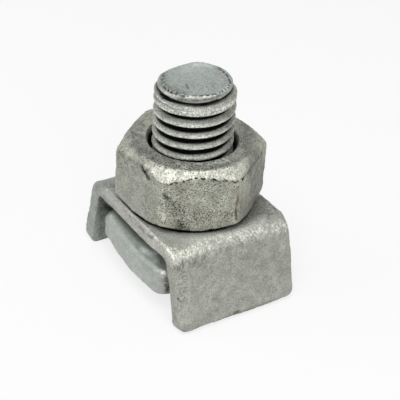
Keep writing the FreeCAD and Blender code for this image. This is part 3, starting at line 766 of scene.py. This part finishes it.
boltMarks = {
    "shineAndHighlight": {
        # a painted highlight on the head's right corner
        "headCorner": (2.4, 1.5, 0, [(163.3, 274), (164, 275)]),
    },
    "glow": {
        # painted highlights and light: sheen on the end, the rim and the first crest, and light lifting
        # the head's bearing face and front and the thread's left side, which lie in shade
        "endSheenFar": (2.2, 0.35, 0, [(194, 64.6), (203, 64.2), (211, 66)]),
        "endSheenLeft": (4, 0.1, 0, [(180, 70), (189, 67)]),
        "rimEdge": (1.3, 1.0, 0.4, [
            (163, 92), (172, 95.5), (183, 97.3), (196, 98), (210, 96.5), (219, 93.5), (228, 87)]),
        "firstCrestLine": (0.9, 0.9, 0.5, [
            (160, 104), (171, 109.5), (183, 112.5), (196, 113.3), (210, 111.5), (222, 108.5),
            (230, 104)]),
        "bearingFace": (3.2, 0.48, 0, [(112, 215), (122, 226.5), (133, 238.5), (145, 250.5), (156, 260)]),
        "bearingLump": (3, 0.75, 0, [(143, 249.5), (149, 252), (155, 252.5)]),
        "threadLeft": (4, 0.12, 0, [(156, 104), (156, 148)]),
        "endTop": (4.5, 0.1, 0, [(187, 69), (202, 67.5)]),
        "headFront": (7, 0.13, 0, [(107, 224), (115, 244), (127, 260), (146, 278)]),
    },
    "grimeAndShade": {
        # firstCrestEdge, endShadeLeft, endShadeRight, rimShade and threadRight are painted shade along
        # the first crest, on the end face's sides, under the rim and on the thread's right side
        "firstCrestEdge": (0.8, 0.8, 0.5, [
            (172, 112.3), (183, 114.6), (196, 115), (210, 113.2), (221, 110.5)]),
        "endShadeLeft": (4.5, 0.3, 0, [(163, 75), (163, 82), (171, 90), (184, 94)]),
        "endShadeRight": (4, 0.45, 0.4, [(219, 72), (226, 80), (223, 88)]),
        "endFront": (4.5, 0.4, 0.9, [(176, 86), (196, 89), (214, 86)]),
        "rimShade": (1.3, 1.0, 0, [(178, 99.6), (190, 101), (200, 100.8), (212, 98.8), (221, 95)]),
        "threadRight": (5, 0.75, 0, [(230, 116), (230, 152)]),
    },
    "rust": {
        "rimRust": (1.2, 0.9, 0.4, [(178, 99.2), (196, 100.4), (212, 98.7)]),
        "headStripRust": (2, 0.8, 0.5, [(166, 280), (168, 293)]),
    },
    "sootAndShadow": {
        # firstGroove and endEdge are painted shade in the first groove and at the end face's edge;
        # headStrip is painted shade with dark grime at the head's right end, beside the leg
        "firstGroove": (0.9, 1.0, 0, [
            (160, 95), (165, 99), (171, 101.2), (183, 103.6), (196, 104.3), (209, 102.6), (218, 99.5)]),
        "endRing": (3.2, 0.75, 0.35, [
            (163, 75), (162, 80), (164, 84.5), (169, 89), (176, 92.5), (184, 94.8)]),
        "endEdge": (1.0, 1.0, 0.5, [
            (218, 67.5), (227, 75), (230.5, 82), (228, 87.5), (221, 92), (210, 95.2), (196, 96.4),
            (184, 95.7), (172, 92.7), (163, 87.5)]),
        "scratch": (0.8, 0.7, 0, [(186, 84.5), (188.2, 88.5)]),
        "leftHole": (2.6, 0.8, 0, [(106, 206), (111, 209)]),
        "headStrip": (2.6, 0.9, 0.4, [(166, 279), (167.5, 286), (168, 294)]),
    },
}


# The rim's length at each angle. It is shorter on the right, where its groove climbs.
def rimLengthAt(angle):
    fromClimb = angleFrom(angle, thread["crestAngle"]) - bolt["climbAngle"]
    return bolt["rimLength"] - bolt["rimClimb"] * bell(fromClimb, bolt["climbWidth"])


# The shank's radius: the thread, held in at the end by a nearly straight rim that ends at a
# narrow groove, steps out to the full thread, is rounded over at its edge, flares on the left and
# is cut nearly flat at the back. The thread's own groove deepens from startDepth to fullDepth.
def shankRadius(height, angle):
    fromEnd = boltTop - height
    length = rimLengthAt(angle)
    depth = ramp(fromEnd, bolt["startDepth"], bolt["fullDepth"])
    turns = thread["crestRadius"] - (thread["crestRadius"] - threadRadius(height, angle)) * depth
    rim = bolt["endRadius"] + bolt["rimSlope"] * fromEnd
    rim = rim + bolt["rimStep"] * ramp(fromEnd, length, length + bolt["rimStepReach"])
    rim = rim - bolt["rimGroove"] * bell(fromEnd - length - bolt["grooveBelow"], bolt["grooveWidth"])
    flare = bell(angleFrom(angle, bolt["flareAngle"]), bolt["flareWidth"])
    rim = rim + bolt["rimFlare"] * flare * ramp(fromEnd, 0, bolt["flareReach"])
    fromFlat = np.clip(angleFrom(angle, bolt["flatAngle"]), -1, 1)
    flat = bolt["flatReach"] * (1 + bolt["flatCurve"] * fromFlat ** 2)
    flat = flat + bolt["flatFade"] * ramp(fromEnd, bolt["flatFrom"], bolt["rimLength"])
    close = np.clip(1 - fromEnd / bolt["rimRound"], 0, 1)
    return np.minimum(np.minimum(turns, rim), flat) - bolt["rimRound"] * (1 - np.sqrt(1 - close * close))


# The head's outline is a rounded rectangle whose near and far sides are bowed out by a parabola.
# Rows go from the pole out under the head, round its edges and side, in over its top to the
# neck, up the thread and in over the end.
def makeBoltPiece():
    wide, deep = bolt["halfWidth"], bolt["halfLength"]
    outline = roundedPolygon([(-wide, -deep), (wide, -deep), (wide, deep), (-wide, deep)],
                             [bolt["cornerRound"]] * 4)
    outline[:, 1] *= 1 + bolt["bulge"] / deep * (1 - (outline[:, 0] / wide) ** 2)
    outline = evenLoop(turned(outline, bolt["headTurn"]), bolt["columns"])
    byLength = np.unwrap(np.arctan2(outline[:, 1], outline[:, 0]))
    even = byLength[0] + np.linspace(0, fullTurn, bolt["columns"] + 1)
    angles = (byLength + even) / 2
    circle = np.stack([np.cos(angles), np.sin(angles)], axis=1)
    outline = circle * polarRadius(outline[:-1], angles)[:, None]
    outward = loopNormals(outline)
    # both edges are rounded more broadly towards the left end of the near side
    nearLeft = ramp(-outline[:, 0], bolt["roundFrom"], wide) * ramp(-outline[:, 1], 0, deep)
    top = bolt["topRound"] + bolt["leftShoulder"] * nearLeft
    bottom = bolt["bottomRound"] + bolt["leftHeel"] * nearLeft
    low, high = headFoot, headFoot + bolt["headThickness"]
    heel, shoulder = low + bottom, high - top
    under, over = outline - outward * bottom[:, None], outline - outward * top[:, None]
    sideShare = np.linspace(0, 1, bolt["sideRows"])[1:]
    topShare = np.linspace(0, 1, bolt["topRows"])[1:]
    rows = [rowAt(under * part, low) for part in np.linspace(0, 1, bolt["underRows"])]
    rows += [rowAt(under + (outline - under) * s, heel - bottom * c) for s, c in quarterSteps]
    rows += [rowAt(outline, heel + (shoulder - heel) * part) for part in sideShare]
    rows += [rowAt(over + (outline - over) * c, shoulder + top * s) for s, c in quarterSteps]
    neck, flare = bolt["neckRadius"], bolt["neckFlare"]
    foot = circle * (neck + flare)
    rows += [rowAt(over + (foot - over) * part, high) for part in topShare]
    rows += [rowAt(circle * (neck + flare * (1 - s)), high + flare * (1 - c)) for s, c in quarterSteps]
    heights = threadHeights(high + flare, boltTop, angles)
    radii = shankRadius(heights, angles[None])
    radii = neck + (radii - neck) * ramp(heights, high + flare, high + flare + bolt["neckBlend"])
    rows += [rowAt(circle * radius[:, None], height) for radius, height in zip(radii, heights)]
    rim = circle * radii[-1][:, None]
    rows += [rowAt(rim * part, boltTop) for part in np.linspace(1, 0, bolt["endRows"])[1:]]
    return gridPiece("squareHeadBolt", np.stack(rows))


# The thread's grooves and the line under its rim are painted black, dirt with painted shade; its
# crests carry a painted highlight on rubbed zinc, with painted light that lifts the lower turns; their
# upper flanks are streaked; and the head and the end are cooler and smoother than the rest.
def finishBolt():
    piece = makeBoltPiece()
    wearAndShading = bolt["wearAndShading"]
    headTop = headFoot + bolt["headThickness"] + wearAndShading["headEdge"]
    onHead = pointsOf(piece)[0][:, 2] < headTop
    coatLumps(piece, "bolt", bolt["coat"], share=np.where(onHead, 1, wearAndShading["threadCoat"]))
    points, normals = pointsOf(piece)
    x, y, z = points.T
    layers = marksOn(points, normals, boltMarks)
    deep = thread["crestRadius"] - np.hypot(x, y)
    fromEnd = boltTop - z
    length = rimLengthAt(np.arctan2(y, x))
    onThread = ~onHead * (fromEnd > length)
    onEnd = fromEnd < wearAndShading["endSkin"]
    # the grooves and the line under the rim: dirt with painted shade, black
    lifted = deep - wearAndShading["firstTurnLift"] * ramp(fromEnd, *wearAndShading["firstTurn"])
    groove = onThread * (fromEnd > bolt["startDepth"]) * ramp(lifted, *wearAndShading["grooveSpan"])
    rimLine = bell(fromEnd - length - wearAndShading["rimLineBelow"], wearAndShading["rimLineWidth"])
    layers["sootAndShadow"] += groove + wearAndShading["rimLine"] * rimLine
    # a painted highlight along the crests' lower edges, and painted light that lifts the lower turns
    crestEdge = onThread * ramp(wearAndShading["crestDepth"] - deep, 0, wearAndShading["crestFade"])
    crestEdge = crestEdge * bell(normals[:, 2] - wearAndShading["crestTilt"], wearAndShading["crestTiltWidth"])
    rubbedAndHighlit = crestEdge * unevenAmount(points, wearAndShading["rubbedAndHighlit"])
    layers["shineAndHighlight"] += rubbedAndHighlit
    layers["glow"] += rubbedAndHighlit * (wearAndShading["lift"] + (1 - wearAndShading["lift"]) * ramp(fromEnd, *wearAndShading["liftSpan"]))
    layers["cool"] += np.maximum(onHead * wearAndShading["headCool"], onEnd)
    streaks = unevenAmount(points * np.array(wearAndShading["streakStretch"]), wearAndShading["streaks"])
    layers["grimeAndShade"] += streaks * onThread * ramp(normals[:, 2], *wearAndShading["flankTilt"])
    layers["dirt"] += wearAndShading["threadDirt"] * onThread + wearAndShading["endDirt"] * onEnd
    paint(piece, layers)
    piece.data.materials.append(zincMaterial("galvanisedBolt", {**zincLook, **bolt["look"]}))
    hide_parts("bolt")
    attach(piece, "bolt")


def makeCamera():
    right, up, back = (Vector(axis) for axis in viewAxes())
    lens = bpy.data.cameras.new("photoView")
    lens.lens, lens.sensor_width = view["lens"], view["sensor"]
    lens.shift_x, lens.shift_y = view["shiftX"], view["shiftY"]
    lens.clip_start, lens.clip_end = 0.01, 20
    holder = addObject("photoView", lens)
    place = (Vector((0, 0, view["aimHeight"])) + back * view["distance"]) * mm
    holder.matrix_world = Matrix.Translation(place) @ Matrix((right, up, back)).transposed().to_4x4()
    bpy.context.scene.camera = holder


# Lamps are given as azimuth, elevation, distance and width in millimetres, and watts.
studio = {"lamps": {"key": (48, 62, 420, 300, 1.0), "front": (75, 25, 460, 260, 0.42),
                    "left": (-35, 30, 460, 260, 0.3)},
          "worldGlow": 0.42, "floorGlow": 0.75, "floorSize": 3000, "floorColour": (0.9, 0.9, 0.9, 1),
          "white": (1, 1, 1, 1)}


# A round area lamp on a sphere about the clamp, facing it.
def makeLamp(name, azimuth, elevation, distance, width, watts):
    away = Vector(directionAt(azimuth, elevation))
    data = bpy.data.lights.new(name, "AREA")
    data.shape = "DISK"
    data.size = width * mm
    data.energy = watts
    place = (away * distance + Vector((0, 0, view["aimHeight"]))) * mm
    turn = away.to_track_quat("Z", "Y").to_matrix().to_4x4()
    addObject(name, data).matrix_world = Matrix.Translation(place) @ turn


# 1 for camera, glossy and transmission rays, 0 for the rays that carry light between surfaces.
def seenRays(tree):
    rays = tree.nodes.new("ShaderNodeLightPath")
    seen = rays.outputs["Is Camera Ray"]
    for kind in ("Is Glossy Ray", "Is Transmission Ray"):
        larger = tree.nodes.new("ShaderNodeMath")
        larger.operation = "MAXIMUM"
        tree.links.new(seen, larger.inputs[0])
        tree.links.new(rays.outputs[kind], larger.inputs[1])
        seen = larger.outputs[0]
    return seen


def scaled(tree, value, low, high):
    node = tree.nodes.new("ShaderNodeMapRange")
    tree.links.new(value, node.inputs["Value"])
    node.inputs["To Min"].default_value = low
    node.inputs["To Max"].default_value = high
    return node.outputs["Result"]


# White to the eye and plain light on the object: the world and the floor glow for seen rays.
def makeStudio():
    world = bpy.data.worlds.new("paleStudio")
    bpy.context.scene.world = world
    world.use_nodes = True
    background = world.node_tree.nodes["Background"]
    background.inputs["Color"].default_value = studio["white"]
    strength = scaled(world.node_tree, seenRays(world.node_tree), studio["worldGlow"], 1)
    world.node_tree.links.new(strength, background.inputs["Strength"])
    for name, lamp in studio["lamps"].items():
        makeLamp(name, *lamp)
    half = studio["floorSize"] * mm / 2
    mesh = bpy.data.meshes.new("floor")
    square = [(-half, -half), (half, -half), (half, half), (-half, half)]
    mesh.from_pydata([(x, y, cadLow[2]) for x, y in square], [], [(0, 1, 2, 3)])
    floor = addObject("floor", mesh)
    material = bpy.data.materials.new("paleFloor")
    material.use_nodes = True
    tree = material.node_tree
    shader = tree.nodes["Principled BSDF"]
    shader.inputs["Base Color"].default_value = studio["floorColour"]
    shader.inputs["Roughness"].default_value = 1.0
    glow = tree.nodes.new("ShaderNodeEmission")
    glow.inputs["Color"].default_value = studio["white"]
    blend = tree.nodes.new("ShaderNodeMixShader")
    tree.links.new(scaled(tree, seenRays(tree), 0, studio["floorGlow"]), blend.inputs[0])
    tree.links.new(shader.outputs[0], blend.inputs[1])
    tree.links.new(glow.outputs[0], blend.inputs[2])
    tree.links.new(blend.outputs[0], tree.nodes["Material Output"].inputs["Surface"])
    mesh.materials.append(material)


bpy.context.scene.view_settings.view_transform = "Standard"
makeCamera()
makeStudio()
print("camera, lamps and floor set")
finishSaddle()
print("saddle plate done")
finishNut()
print("nut done")
finishBolt()
print("bolt done")
